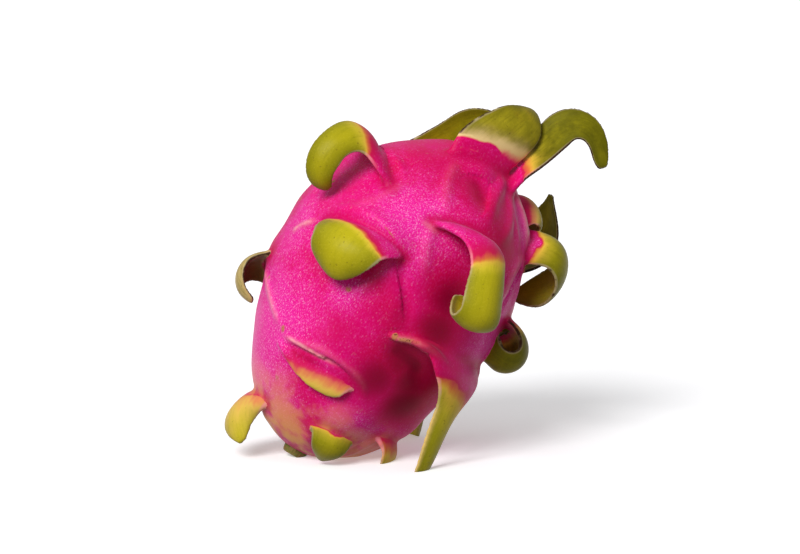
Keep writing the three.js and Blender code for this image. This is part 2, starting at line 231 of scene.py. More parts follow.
# How finely the rind is fused, and how far and how long its roots are smoothed into fillets
VOXEL = 0.6
ROOT_NEAR = 1.2  # from the skin, in which the points of a scale's pink part are its root
ROOT_TONE = 0.5
FILLET_REACH = 8
FILLET_ROUNDS = 36
MELT_REACH = 9
MELT_ROUNDS = 120
MOST_TRIANGLES = 196000

# Rows of the growth spiral on the far side: height, bearing and count, and how a row climbs and turns
FAR_ROWS = [(-67, 155, 2), (-16, -156, 1), (-8, 150, 2), (21, 175, 1), (46, 165, 1), (-68, 22, 1)]
ROW_CLIMB = 23
ROW_TURN = 65
FAR_SETS_OFF = (100, 55)
FAR_ENDS = (180, 235)
FAR_STRAIGHT_FROM = 0.8
FAR_STRAIGHTENS = 300
FAR_SWAY = (-15, 15)
FAR_TURN = (-10, 10)
FAR_CUP = (0.3, 0.8)
FAR_LENGTH = (18, 44)
FAR_WIDTHS = [28, 18, 16, 13, 7]
FAR_SPREAD = 0.15

# The dried flower: papery strips round the scar's rim, the stub of its style and rings of stamen stubs
TATTERS = dict(count=5, height=49, length=9, spread=0.3, stray=0.3, widths=[11, 9, 7, 3],
               headings=[40, 25, 10, -20], bend=10, cup=-0.4)
TATTER_THICK = 0.8
CRINKLE = dict(strip=0.35, style=0.12, stalk=0.08)
# radius and height over the cup's floor
STYLE = [(1.9, -1.0), (1.8, 0.8), (1.5, 2.4), (1.45, 3.8), (1.6, 4.6)]
STYLE_SIDES = 10
STAMEN = [(0.42, -0.8), (0.42, 2.04), (0.22, 3.4)]
STAMEN_RINGS = [(3.4, 11, 20), (5.2, 17, 32)]  # radius, count and how far they splay
STAMEN_SIDES = 6
STAMEN_HEIGHTS, STAMEN_SPLAYS, STAMEN_STRAY = (0.6, 1.15), (0.5, 1.3), 0.6

# The stalk stub: radius and height of its rings from inside the fruit to the cut end, then over the cut
STALK = [(5.0, -78), (5.1, -82.4), (5.0, -84.6), (4.6, -85.9), (4.1, -86.4), (3.4, -86.1), (2.3, -85.9),
         (1.6, -86.3), (0.8, -86.4)]
STALK_SIDES = 28
STALK_RIB = 0.94
STALK_CORE = 3
CUT_HEIGHT = 85.6


def blend(start, end, share):
    return start + (end - start) * share


def smooth(x):
    """Eases from 0 to 1 while x goes from 0 to 1."""
    x = np.clip(x, 0, 1)
    return x * x * (3 - 2 * x)


def skin_radius(height):
    up, down = np.clip(height / FLOWER_REACH, 0, 1), np.clip(-height / STEM_REACH, 0, 1)
    return WIDEST_RADIUS * (1 - up**FLOWER_POWER) ** FLOWER_FULLNESS * np.sqrt(1 - down**2)


def bow_at(height):
    high = np.maximum(height, 0)
    return BOW * high**2 / (high + BOW_EASE)


def skin_point(height, bearing):
    """Where a height and bearing lie on the bare skin, in millimetres. Also takes arrays of them."""
    angle, radius = np.radians(bearing), skin_radius(height)
    return np.stack([radius * np.sin(angle) + bow_at(height), -radius * np.cos(angle), height], -1)


def skin_frame(height, bearing):
    """Point, direction towards the flower end, direction round the body, and outward normal."""
    step = 0.05
    angle = math.radians(bearing)
    side = Vector((math.cos(angle), math.sin(angle), 0))
    up = Vector(skin_point(height + step, bearing) - skin_point(height - step, bearing)).normalized()
    out = side.cross(up).normalized()
    return Vector(skin_point(height, bearing)), out.cross(side), side, out


def skin_place(co):
    """Height, bearing and radius of points, in millimetres and degrees."""
    x, y, height = co.T / MM
    x = x - bow_at(height)
    return height, np.degrees(np.arctan2(x, -y)), np.hypot(x, y)


def skin_distance(co):
    """How far points lie outside the smooth body, in millimetres."""
    height, _, radius = skin_place(co)
    step = 0.1
    slope = (skin_radius(height + step) - skin_radius(height - step)) / (2 * step)
    return (radius - skin_radius(height)) / np.sqrt(1 + slope**2)


def along(values, share):
    """Value at share 0 to 1 of an evenly spaced list, along a smooth curve through its numbers."""
    place = min(max(share, 0), 1) * (len(values) - 1)
    index = min(int(place), len(values) - 2)
    part = place - index
    start, end = values[index], values[index + 1]
    before = values[index - 1] if index else 2 * start - end
    after = values[index + 2] if index + 2 < len(values) else 2 * end - start
    return 0.5 * (2 * start + (end - before) * part
                  + (2 * before - 5 * start + 4 * end - after) * part**2
                  + (3 * start - before - 3 * end + after) * part**3)


def turned(first, second, degrees):
    """Two directions, turned together from the first towards the second."""
    cos, sin = math.cos(math.radians(degrees)), math.sin(math.radians(degrees))
    return first * cos + second * sin, second * cos - first * sin


def drawing(seed):
    state = seed
    while True:
        state = (state * 1664525 + 1013904223) % 4294967296
        yield state / 4294967296


def far_scales():
    """Scales on the far side: short and flat low down, long and standing off high up."""
    draws = drawing(7)
    found = {}
    for row_height, row_bearing, count in FAR_ROWS:
        for i in range(count):
            height = row_height + i * ROW_CLIMB
            share = (height + STEM_REACH) / (FLOWER_REACH + STEM_REACH)
            size = 1 + FAR_SPREAD * (2 * next(draws) - 1)
            start = blend(*FAR_SETS_OFF, share)
            end = blend(*FAR_ENDS, next(draws)) - FAR_STRAIGHTENS * max(0, share - FAR_STRAIGHT_FROM)
            found[f"far_{len(found)}"] = new_scale(
                height, row_bearing + i * ROW_TURN, blend(*FAR_LENGTH, share) * size,
                [blend(start, end, part) for part in (0, 0.3, 0.65, 0.9, 1)],
                [width * size for width in FAR_WIDTHS],
                sway=[0, blend(*FAR_SWAY, next(draws))], turn=blend(*FAR_TURN, next(draws)),
                cup=blend(*FAR_CUP, next(draws)), green=(0.15, 0.4), dry=0.4)
    return found


def tatters():
    draws = drawing(11)
    found = {}
    for i in range(TATTERS["count"]):
        size = 1 + TATTERS["spread"] * (2 * next(draws) - 1)
        bearing = (i + TATTERS["stray"] * next(draws)) * 360 / TATTERS["count"]
        headings = [heading + blend(-TATTERS["bend"], TATTERS["bend"], next(draws))
                    for heading in TATTERS["headings"]]
        found[f"tatter_{i}"] = new_scale(TATTERS["height"], bearing, TATTERS["length"] * size, headings,
                                         TATTERS["widths"], cup=TATTERS["cup"])
    return found


# ---- hand tools


def pick_only(piece):
    bpy.ops.object.select_all(action="DESELECT")
    piece.select_set(True)
    bpy.context.view_layer.objects.active = piece


def copy_of(piece):
    pick_only(piece)
    bpy.ops.object.duplicate()
    return bpy.context.object


@contextmanager
def editing(piece, chosen="SELECT"):
    """Edit mode on a piece with all of it selected, none for DESELECT, or as it was for None."""
    pick_only(piece)
    bpy.ops.object.mode_set(mode="EDIT")
    if chosen:
        bpy.ops.mesh.select_all(action=chosen)
    yield
    bpy.ops.object.mode_set(mode="OBJECT")


def choose(piece, wanted):
    """Selects the points of a piece whose place is wanted."""
    with editing(piece, "DESELECT"):
        bpy.ops.mesh.select_mode(type="VERT")
    for vertex in piece.data.vertices:
        vertex.select = wanted(vertex.co)


def turn(angle, axis, centre=(0, 0, 0)):
    """Turns what is selected round an axis through centre, counter-clockwise in degrees."""
    bpy.ops.transform.rotate(value=-math.radians(angle), orient_axis=axis, center_override=centre)


def stretch(size, centre=(0, 0, 0), **settings):
    bpy.ops.transform.resize(value=size, center_override=centre, **settings)


def shift(*by):
    """Shifts what is selected, in millimetres."""
    bpy.ops.transform.translate(value=[x * MM for x in by])


def turn_by(rotation, centre):
    for angle, axis in zip(rotation.to_euler("XYZ"), "XYZ"):
        turn(math.degrees(angle), axis, centre)


def crinkle(piece, amount, seed):
    with editing(piece):
        bpy.ops.transform.vertex_random(offset=amount * MM, seed=seed)



def pull_rings(name, rings, sides, bow=0):
    """A closed round form, pulled ring by ring from (radius, height) to (radius, height), in millimetres.
    bow is 1 where the rings follow the bow of the body."""
    radius, height = rings[0]
    bpy.ops.object.select_all(action="DESELECT")
    bpy.ops.mesh.primitive_circle_add(vertices=sides, radius=radius * MM, fill_type="TRIFAN",
                                      location=(0, 0, height * MM))
    piece = bpy.context.object
    piece.name = piece.data.name = name
    bpy.ops.object.transform_apply(location=True)
    with editing(piece, "DESELECT"):
        bpy.ops.mesh.select_mode(type="VERT")
        bpy.ops.mesh.select_non_manifold()
        for next_radius, next_height in rings[1:]:
            aside = bow * (bow_at(next_height) - bow_at(height)) * MM
            bpy.ops.mesh.extrude_region_move(
                TRANSFORM_OT_translate={"value": (aside, 0, (next_height - height) * MM)})
            size = next_radius / radius
            stretch((size, size, 1), (bow * bow_at(next_height) * MM, 0, next_height * MM))
            radius, height = next_radius, next_height
        bpy.ops.mesh.edge_face_add()
        bpy.ops.mesh.select_all(action="SELECT")
        bpy.ops.mesh.normals_make_consistent(inside=False)
    return piece


def apply_modifier(piece, kind, **settings):
    pick_only(piece)
    modifier = piece.modifiers.new(kind.lower(), kind)
    for name, value in settings.items():
        setattr(modifier, name, value)
    if kind == "DATA_TRANSFER":
        bpy.ops.object.datalayout_transfer(modifier=modifier.name)
    bpy.ops.object.modifier_apply(modifier=modifier.name)


def co_of(piece):
    co = np.empty(len(piece.data.vertices) * 3)
    piece.data.vertices.foreach_get("co", co)
    return co.reshape(-1, 3)


def paint(piece, name, *channels):
    """A colour of four numbers at each point, each given once for all points or one by one."""
    layer = piece.data.color_attributes.get(name)
    if layer is None:
        layer = piece.data.color_attributes.new(name, "FLOAT_COLOR", "POINT")
    values = np.empty((len(piece.data.vertices), 4))
    for index, channel in enumerate(channels):
        values[:, index] = channel
    layer.data.foreach_set("color", values.ravel())


def weigh(piece, name, weights):
    group = piece.vertex_groups.new(name=name)
    for index in np.nonzero(weights > 0.003)[0]:
        group.add([int(index)], float(weights[index]), "REPLACE")
    return name


def join(pieces, name):
    pick_only(pieces[0])
    for piece in pieces:
        piece.select_set(True)
    bpy.ops.object.join()
    joined = bpy.context.object
    joined.name = joined.data.name = name
    return joined


# ---- body


def grow_body(scales):
    """Ring by ring from the stem end to the scar rim, then in over the rim and down into the cup."""
    below = [-STEM_REACH * math.cos(math.pi / 2 * i / STEM_RINGS) for i in range(1, STEM_RINGS + 1)]
    above = [SCAR_RIM_HEIGHT * math.sin(math.pi / 2 * i / FLOWER_RINGS)
             for i in range(1, FLOWER_RINGS + 1)]
    cup = [(radius, SCAR_FLOOR_HEIGHT + rise) for radius, rise in SCAR_WALL]
    outside = [(skin_radius(height), height) for height in below + above]
    body = pull_rings("body", outside + cup, BODY_SIDES, bow=1)
    for vertex in body.data.vertices:  # the middle of the stem end
        if vertex.co.xy.length < 1e-6:
            vertex.co.z = -STEM_REACH * MM
    co = co_of(body)
    height, bearing, _ = skin_place(co)
    rise = swelling(scales, height, bearing) * (skin_distance(co) > -0.5)
    apply_modifier(body, "DISPLACE", vertex_group=weigh(body, "swell", rise / SWELL), strength=SWELL * MM,
                   mid_level=0)
    return body


def swelling(scales, height, bearing):
    """How far the skin rises round the roots of the scales."""
    rise = np.zeros(len(height))
    for scale in scales.values():
        ahead = (height - scale["height"] - SWELL_AHEAD) / SWELL_LENGTH
        aside = np.radians((bearing - scale["bearing"] + 180) % 360 - 180) * skin_radius(height)
        reach = scale["widths"][0] * SWELL_WIDTH
        rise = np.maximum(rise, scale["swell"] * np.exp(-(ahead**2) - (aside / reach) ** 2))
    return rise


# ---- scales


def scale_rows(scale):
    """Where each row of a scale lies, how it faces and how wide and arched it is, from root to tip."""
    point, frame_up, frame_side, frame_out = skin_frame(scale["height"], scale["bearing"])
    up, level = turned(frame_up, frame_side, scale["turn"])
    side, out = turned(level, frame_out, scale["tilt"])
    point = point - frame_out * ROOT_SUNK
    headings, length = scale["headings"], scale["length"]
    curl = sum(abs(b - a) for a, b in zip(headings, headings[1:]))
    steps = round(STEPS_PER_SCALE + curl / TURN_PER_STEP)
    shares = [i / steps for i in range(steps)] + [1 - cut / steps for cut in TIP_CUTS]
    rows = []
    done = 0.0
    for share in shares:
        while done < share - 1e-9:
            step = min(share - done, 1 / (steps * SPINE_FINENESS))
            ahead, _ = turned(up, out, along(headings, done))
            forward, _ = turned(ahead, side, along(scale["sway"], done))
            point = point + forward * step * (length + ROOT_SUNK)
            done += step
        heading, swing, roll = (along(scale[key], share) for key in ("headings", "sway", "twist"))
        ahead, outer = turned(up, out, heading)
        forward, aside = turned(ahead, side, swing)
        across, facing = turned(aside, -outer, roll)
        root = 1 - smooth(share / ROOT_SHARE)
        tip = math.sqrt(max(0, 1 - share ** scale["blunt"]))
        half = max(along(scale["widths"], share) / 2 * tip, LEAST_HALF_WIDTH)
        half += EDGE_GAIN * smooth(share / EDGE_GAIN_OVER)
        cup = scale["cup"] * (1 - root) + math.copysign(0.001, scale["cup"])
        dip = root * (half**2 / (2 * skin_radius(scale["height"])) + scale["dip"])
        sag = root * ROOT_ARCH
        tilt_in = math.radians(heading)
        arch = half * (1 - math.cos(cup)) / cup + sag * math.sin(tilt_in) - dip * math.cos(tilt_in)
        lag = dip * math.sin(tilt_in) + sag * math.cos(tilt_in)
        if abs(arch) < LEAST_ARCH:
            arch = math.copysign(LEAST_ARCH, arch)
        if abs(lag) < LEAST_ARCH:
            lag = LEAST_ARCH
        place = point + across * along(scale["shift"], share)
        rows.append(dict(share=share, point=place * MM,
                         facing=Matrix((across, facing, forward)).transposed(),
                         size=Vector((half * math.sin(cup) / cup, arch, lag)) * MM))
    return rows


def grow_scale(name, scale):
    """A row of points is set at the root, then pulled on, turned and narrowed step by step to the tip."""
    rows = scale_rows(scale)
    bpy.ops.object.select_all(action="DESELECT")
    bpy.ops.mesh.primitive_circle_add(vertices=CIRCLE_SIDES, radius=1)
    leaf = bpy.context.object
    leaf.name = name
    arc = math.radians(ROW_ARC)
    choose(leaf, lambda co: co.y < math.cos(arc) - 0.01)
    size = rows[0]["size"]
    drop = (1 - math.cos(arc)) * math.sqrt(0.5)
    with editing(leaf, None):
        bpy.ops.mesh.delete(type="VERT")
        bpy.ops.mesh.select_all(action="SELECT")
        bpy.ops.transform.translate(value=(0, -1, 0))
        turn(45, "X")
        stretch((size.x / math.sin(arc), size.y / drop, size.z / drop))
        turn_by(rows[0]["facing"], (0, 0, 0))
        bpy.ops.transform.translate(value=rows[0]["point"])
        for row, following in zip(rows, rows[1:]):
            point, facing = following["point"], following["facing"]
            bpy.ops.mesh.extrude_region_move(TRANSFORM_OT_translate={"value": point - row["point"]})
            turn_by(facing @ row["facing"].transposed(), point)
            ratio = [b / a for a, b in zip(row["size"], following["size"])]
            stretch(ratio, point, orient_type="GLOBAL", orient_matrix=facing, orient_matrix_type="GLOBAL")
    return leaf, rows


def shares_of(leaf, rows):
    """How far along a scale each of its points is, and how many points a row has."""
    columns = len(leaf.data.vertices) // len(rows)
    return np.repeat([row["share"] for row in rows], columns), columns


def thicken(leaf, rows, scale):
    """Fleshy at the root and thin at rim and tip. Notes each point's place on the scale for its colours."""
    share, columns = shares_of(leaf, rows)
    facing = rows[-1]["facing"].inverted()
    last = co_of(leaf)[-columns:] - np.array(rows[-1]["point"])
    last = np.array([(facing @ Vector(point)).x for point in last])
    aside = np.tile(last / np.abs(last).max(), len(rows))
    thick = np.maximum(blend(ROOT_THICK, TIP_THICK, share) * (1 - EDGE_THIN * aside**2), LEAST_THICK)
    apply_modifier(leaf, "SOLIDIFY", thickness=ROOT_THICK * MM, offset=0, use_quality_normals=True,
                   vertex_group=weigh(leaf, "thick", thick / ROOT_THICK))
    share, aside = np.tile(share, 2), np.tile(aside, 2)
    under = np.repeat([0.0, 1.0], len(share) // 2)
    # tone: 0 at the root, 1 where the pink ends, 2 where the green is full, 3 at the tip
    pink, green = scale["green"]
    tone = np.interp(share + scale["skew"] * aside, [0, pink, green, max(1, green + 0.1)], [0, 1, 2, 3])
    rim = np.maximum(np.abs(aside), np.clip((share - 0.9) / 0.1, 0, 1))
    dry = np.interp(aside, [-1, 1], np.broadcast_to(scale["dry"], 2))
    half = np.interp(share, np.linspace(0, 1, len(scale["widths"])), scale["widths"]) / 2
    # a seam runs along the outermost sixth of an edge, and fades out at the root
    seam = np.interp(aside, [-1, 1], scale["seam"]) * np.clip(6 * np.abs(aside) - 5, 0, 1)
    own = (scale["bearing"] * 0.37 + scale["height"] * 0.11) % 1
    paint(leaf, "leaf", tone / 3, rim, under, 1)
    paint(leaf, "nature", scale["cream"], scale["tan"], seam * np.clip(8 * share - 3, 0, 1), 1)
    paint(leaf, "grain", aside * half / GRAIN_UNIT + 0.5, share * scale["length"] / GRAIN_UNIT, dry, own)
    apply_modifier(leaf, "SUBSURF", levels=2, render_levels=2)
    return leaf


# ---- rind


def nearness(co, targets, reach):
    """1 at the targets, easing to 0 at reach."""
    tree = kdtree.KDTree(len(targets))
    for index, target in enumerate(targets):
        tree.insert(target, index)
    tree.balance()
    return smooth(1 - np.array([tree.find(point)[2] for point in co]) / (reach * MM))


def sample_line(path):
    """Points along a line on the skin in metres, with a weight that fades in and out at its ends."""
    parts = np.diff([skin_point(*place) for place in path], axis=0)
    count = max(2, round(np.linalg.norm(parts, axis=1).sum() / LINE_SPACING))
    shares = np.linspace(0, 1, count)
    heights, bearings = zip(*path)
    points = np.array([skin_point(along(heights, share), along(bearings, share)) for share in shares])
    return points * MM, smooth(shares / LINE_FADES_IN) * smooth((1 - shares) / LINE_FADES_OUT)


def line_weight(co, path, width):
    """How strongly each point lies on a line: 1 on it, falling off over its width."""
    points, fade = sample_line(path)
    reach = LINE_REACH * width * MM
    weight = np.zeros(len(co))
    near = np.all((co > points.min(0) - reach) & (co < points.max(0) + reach), axis=1).nonzero()[0]
    for chunk in np.array_split(near, max(1, len(near) // POINTS_AT_ONCE)):
        away = np.linalg.norm(co[chunk, None] - points[None], axis=2) / (width * MM)
        weight[chunk] = (np.exp(-away**2) * fade).max(1)
    return weight


def on_lines(co, lines):
    """Each line, with how strongly each point of the skin lies on it, also where the skin swells."""
    height, bearing, _ = skin_place(co)
    bare = skin_point(height, bearing) * MM
    near = np.clip(2 - np.abs(skin_distance(co)) / SKIN_DEPTH, 0, 1)
    for line in lines:
        yield line, line_weight(bare, line.path, line.width) * near


def decurrent_lines(scales):
    """The two low ridges that run from each scale's root corners towards the stem end."""
    lines = []
    for scale in scales.values():
        height, bearing = scale["height"], scale["bearing"]
        half = math.degrees(DECURRENT["apart"] * scale["widths"][0] / skin_radius(height))
        low = max(height - DECURRENT["length"], 4 - STEM_REACH)
        for way, share in zip((-1, 1), scale["ribs"]):
            heights = (height - 1, (height + low) / 2, low)
            path = [(place, bearing + way * half * part)
                    for place, part in zip(heights, DECURRENT["closing"])]
            lines.append(Line(path, DECURRENT["rise"] * share, DECURRENT["width"],
                              pale=DECURRENT["pale"] * share))
    return lines


def press_skin(rind, lines):
    """Raises the ridges and sinks the creases along their lines."""
    rise = np.zeros(len(rind.data.vertices))
    for line, weight in on_lines(co_of(rind), lines):
        rise = np.where(weight * abs(line.rise) > np.abs(rise), weight * line.rise, rise)
    most = np.abs(rise).max()
    for name, way in (("raised", 1), ("sunken", -1)):
        apply_modifier(rind, "DISPLACE", strength=way * most * MM, mid_level=0,
                       vertex_group=weigh(rind, name, np.clip(way * rise / most, 0, 1)))


def reaches_from(co, height, bearing, reach):
    """How many reaches each point lies from a place on the skin."""
    return np.linalg.norm(co - skin_point(height, bearing) * MM, axis=1) / (reach * MM)


def spots_at(co, spots):
    """Strength at each point of soft round spots."""
    return np.max([top * np.exp(-reaches_from(co, *place) ** 2) for *place, top in spots], axis=0)


def scars_at(co):
    return np.max([np.exp(-(((reaches_from(co, *place) - ring) / (1 - 0.5 * ring)) ** 2))
                   for *place, ring in SCARS], axis=0)


def mark_skin(rind, lines, axils):
    """Notes light lines, partly painted highlight, cork, darker red painted as shade, the yellow of the
    stem end and bloom with painted highlight at each point.
    """
    co = co_of(rind)
    pale, deep = np.zeros(len(co)), AXIL_PAINTED_SHADE * nearness(co, axils, AXIL_REACH)
    cork = scars_at(co)
    for line, weight in on_lines(co, lines):
        pale = np.maximum(pale, weight**2 * line.pale)
        cork = np.maximum(cork, weight**2 * line.scar)
        deep = np.maximum(deep, weight * line.deep)
    stem_end = np.clip((STEM_YELLOW_BELOW - skin_place(co)[0]) / STEM_YELLOW_OVER, 0, 1)
    paint(rind, "marks", pale, cork, np.maximum(deep, spots_at(co, PAINTED_SHADE_SPOTS)), stem_end)
    paint(rind, "bloom_and_highlight", spots_at(co, BLOOM_AND_HIGHLIGHT), 0, 0, 1)


def root_of(leaf):
    """The points where the pink part of a scale comes out of the skin."""
    co = co_of(leaf)
    colours = np.empty(len(co) * 4)
    leaf.data.color_attributes["leaf"].data.foreach_get("color", colours)
    return co[(np.abs(skin_distance(co)) < ROOT_NEAR) & (colours[::4] < ROOT_TONE)]


def grow_rind(scales):
    body = grow_body(scales)
    for name in ("leaf", "nature", "grain"):
        paint(body, name, 0, 0, 0, 0)
    leaves = [thicken(*grow_scale(name, scale), scale) for name, scale in scales.items()]
    grown = [(root_of(leaf), scale) for leaf, scale in zip(leaves, scales.values())]
    roots = np.concatenate([root for root, _ in grown])
    melting = np.concatenate([root for root, scale in grown if scale["melt"]])
    axils = np.concatenate([root for root, scale in grown if any(scale["ribs"])])
    shells = join([body, *leaves], "shells")
    rind = copy_of(shells)
    rind.name = rind.data.name = "rind"
    rind.vertex_groups.clear()
    apply_modifier(rind, "REMESH", mode="VOXEL", voxel_size=VOXEL * MM)
    for name, targets, reach, rounds in (("fillet", roots, FILLET_REACH, FILLET_ROUNDS),
                                         ("melt", melting, MELT_REACH, MELT_ROUNDS)):
        apply_modifier(rind, "SMOOTH", factor=0.5, iterations=rounds,
                       vertex_group=weigh(rind, name, nearness(co_of(rind), targets, reach)))
    apply_modifier(rind, "SMOOTH", factor=0.5, iterations=2)
    lines = SKIN_LINES + decurrent_lines(scales)
    press_skin(rind, lines)
    rind.data.calc_loop_triangles()
    share = MOST_TRIANGLES / len(rind.data.loop_triangles)
    if share < 1:
        apply_modifier(rind, "DECIMATE", ratio=share, use_collapse_triangulate=True)
    apply_modifier(rind, "DATA_TRANSFER", object=shells, use_vert_data=True,
                   data_types_verts={"COLOR_VERTEX"}, vert_mapping="POLYINTERP_NEAREST")
    bpy.data.objects.remove(shells)
    mark_skin(rind, lines, axils)
    return rind


def settle(pieces):
    """Leans the upright pieces and sets them down on the fruit's low spot."""
    back = Matrix.Rotation(-math.radians(LEAN_BACK), 3, "X")
    lean = back @ Matrix.Rotation(math.radians(LEAN_TO_SIDE), 3, "Y")
    spots = skin_point(*np.meshgrid(np.arange(1, 2 * STEM_REACH) / -2, np.arange(360))).reshape(-1, 3)
    spots = spots @ np.array(lean).T
    x, y, z = spots[spots[:, 2].argmin()]
    for piece in pieces:
        with editing(piece):
            turn(LEAN_TO_SIDE, "Y")
            turn(-LEAN_BACK, "X")
            shift(-x, -y, -z - PRESSED)


def flatten_foot(piece):
    """Cuts off what would be under the floor."""
    with editing(piece):
        bpy.ops.mesh.bisect(plane_co=(0, 0, 0), plane_no=(0, 0, 1), use_fill=True, clear_inner=True,
                            threshold=1e-7)
        bpy.ops.mesh.select_all(action="SELECT")
        bpy.ops.mesh.delete_loose()
        bpy.ops.mesh.select_all(action="SELECT")
        bpy.ops.mesh.fill_holes(sides=0)


# ---- dried flower and stalk


def grow_strip(name, strip, seed):
    """A thin crinkled strip. Notes how far along and across it each point is, and its own number."""
    leaf, rows = grow_scale(name, strip)
    share, columns = shares_of(leaf, rows)
    across = np.tile(np.linspace(0, 1, columns), len(rows))
    paint(leaf, "strip", share, across, seed / TATTERS["count"], 1)
    crinkle(leaf, CRINKLE["strip"], seed)
    apply_modifier(leaf, "SOLIDIFY", thickness=TATTER_THICK * MM, offset=0, use_quality_normals=True)
    apply_modifier(leaf, "SUBSURF", levels=1, render_levels=1)
    return leaf


def dry_flower():
    """Curled papery strips on the scar's rim, the style's stub in its cup and stamen stubs round that."""
    strips = [grow_strip(name, strip, seed) for seed, (name, strip) in enumerate(tatters().items())]
    style = pull_rings("style", STYLE, STYLE_SIDES)
    crinkle(style, CRINKLE["style"], 3)
    apply_modifier(style, "SUBSURF", levels=2, render_levels=2)
    stamen = pull_rings("stamen", STAMEN, STAMEN_SIDES)
    draws = drawing(23)
    stubs = [style]
    for radius, count, splay in STAMEN_RINGS:
        for i in range(count):
            stubs.append(copy_of(stamen))
            with editing(stubs[-1]):
                stretch((1, 1, blend(*STAMEN_HEIGHTS, next(draws))))
                turn(splay * blend(*STAMEN_SPLAYS, next(draws)), "Y")
                shift(radius, 0, 0)
                turn((i + STAMEN_STRAY * next(draws)) * 360 / count, "Z")
    bpy.data.objects.remove(stamen)
    middle = join(stubs, "middle")
    with editing(middle):
        shift(bow_at(SCAR_FLOOR_HEIGHT), 0, SCAR_FLOOR_HEIGHT)
    paint(middle, "strip", (co_of(middle)[:, 2] / MM - SCAR_FLOOR_HEIGHT) / STYLE[-1][1], 0.5, 0.3, 0)
    return join([*strips, middle], "flower_remains")


def cut_stalk():
    stalk = pull_rings("stalk_stub", STALK, STALK_SIDES)
    # every other line of the side is drawn in, for its ribs
    choose(stalk, lambda co: round(math.atan2(co.y, co.x) / math.tau * STALK_SIDES) % 2 == 1
           and co.xy.length > STALK_CORE * MM)
    with editing(stalk, None):
        stretch((STALK_RIB, STALK_RIB, 1))
    crinkle(stalk, CRINKLE["stalk"], 5)
    apply_modifier(stalk, "SUBSURF", levels=2, render_levels=2)
    x, y, height = co_of(stalk).T / MM
    paint(stalk, "cut", np.hypot(x, y) / STALK[0][0], np.clip((-height - CUT_HEIGHT) / 0.4, 0, 1), 0, 1)
    return stalk


# ---- finishes


def tint(red, green, blue):
    """Linear colour from the 0 to 255 values of a colour chart."""
    return tuple(((c / 255 + 0.055) / 1.055) ** 2.4 if c > 10.31 else c / 255 / 12.92
                 for c in (red, green, blue)) + (1.0,)


class Value:
    """What a node gives out. Sums, differences and products of it are made by further nodes."""

    def __init__(self, finish, socket):
        self.finish, self.socket = finish, socket

    def __add__(self, other):
        return self.finish.math("ADD", self, other)

    def __sub__(self, other):
        return self.finish.math("SUBTRACT", self, other)

    def __rsub__(self, other):
        return self.finish.math("SUBTRACT", other, self)

    def __mul__(self, other):
        return self.finish.math("MULTIPLY", self, other)


class Finish:
    """A material whose nodes are wired one by one."""

    def __init__(self, name):
        self.material = bpy.data.materials.new(name)
        self.material.use_nodes = True
        self.tree = self.material.node_tree
        self.tree.nodes.clear()
        self.place = self.node("TexCoord", "Object")

    def feed(self, socket, value):
        if isinstance(value, Value):
            self.tree.links.new(value.socket, socket)
        else:
            socket.default_value = value

    def node(self, kind, output, inputs=None, **settings):
        """A new node, as the value of one of its outputs."""
        made = self.tree.nodes.new("ShaderNode" + kind)
        for name, value in settings.items():
            setattr(made, name, value)
        for name, value in (inputs or {}).items():
            self.feed(made.inputs[name], value)
        return Value(self, made.outputs[output])

    def math(self, operation, *values):
        return self.node("Math", 0, dict(enumerate(values)), operation=operation)

    def mix(self, share, first, second):
        return self.node("Mix", 2, {0: share, 6: first, 7: second}, data_type="RGBA")

    def coats(self, colour, *coats):
        """A colour with others laid over it one by one, each by its own share."""
        for share, coat in coats:
            colour = self.mix(share, colour, coat)
        return colour

    def span(self, value, low, high, to_low=0.0, to_high=1.0, soft=True):
        inputs = {"Value": value, "From Min": low, "From Max": high, "To Min": to_low, "To Max": to_high}
        return self.node("MapRange", 0, inputs, interpolation_type="SMOOTHSTEP" if soft else "LINEAR")

    def noise(self, size, detail=3, rough=0.55, where=None):
        """Noise whose lumps are about size millimetres across."""
        return self.node("TexNoise", 0, {"Vector": where or self.place, "Scale": 1 / (size * MM),
                                         "Detail": detail, "Roughness": rough})

    def vector(self, x, y, z):
        return self.node("CombineXYZ", 0, {"X": x, "Y": y, "Z": z})

    def drawn_out(self, share):
        """Places on the upright fruit, for a pattern that is drawn out along it."""
        back, aside = math.radians(LEAN_BACK), math.radians(-LEAN_TO_SIDE)
        upright = self.node("Mapping", 0, {"Vector": self.place, "Rotation": (back, 0, 0)})
        upright = self.node("Mapping", 0, {"Vector": upright, "Rotation": (0, aside, 0)})
        return self.node("Mapping", 0, {"Vector": upright, "Scale": (1, 1, share)})

    def channels(self, name):
        """The four numbers that a piece carries under name."""
        colour = self.node("Attribute", "Color", attribute_name=name)
        parts = self.node("SeparateColor", 0, {"Color": colour}).socket.node.outputs
        return [Value(self, part) for part in (*parts, colour.socket.node.outputs["Alpha"])]

    def ramp(self, value, stops):
        colour = self.node("ValToRGB", "Color", {"Fac": value})
        elements = colour.socket.node.color_ramp.elements
        while len(elements) < len(stops):
            elements.new(0.5)
        for element, (place, *chart) in zip(elements, stops):
            element.position, element.color = place, tint(*chart)
        return colour

    def done(self, colour, roughness, settings, relief=None, strength=0, depth=0):
        """The material, with this shader and a fine relief of a depth in millimetres."""
        inputs = {"Base Color": colour, "Roughness": roughness, **settings}
        if relief:
            inputs["Normal"] = self.node("Bump", 0, {"Height": relief, "Strength": strength,
                                                     "Distance": depth * MM})
        surface = self.tree.nodes.new("ShaderNodeOutputMaterial").inputs["Surface"]
        self.feed(surface, self.node("BsdfPrincipled", 0, inputs))
        return self.material


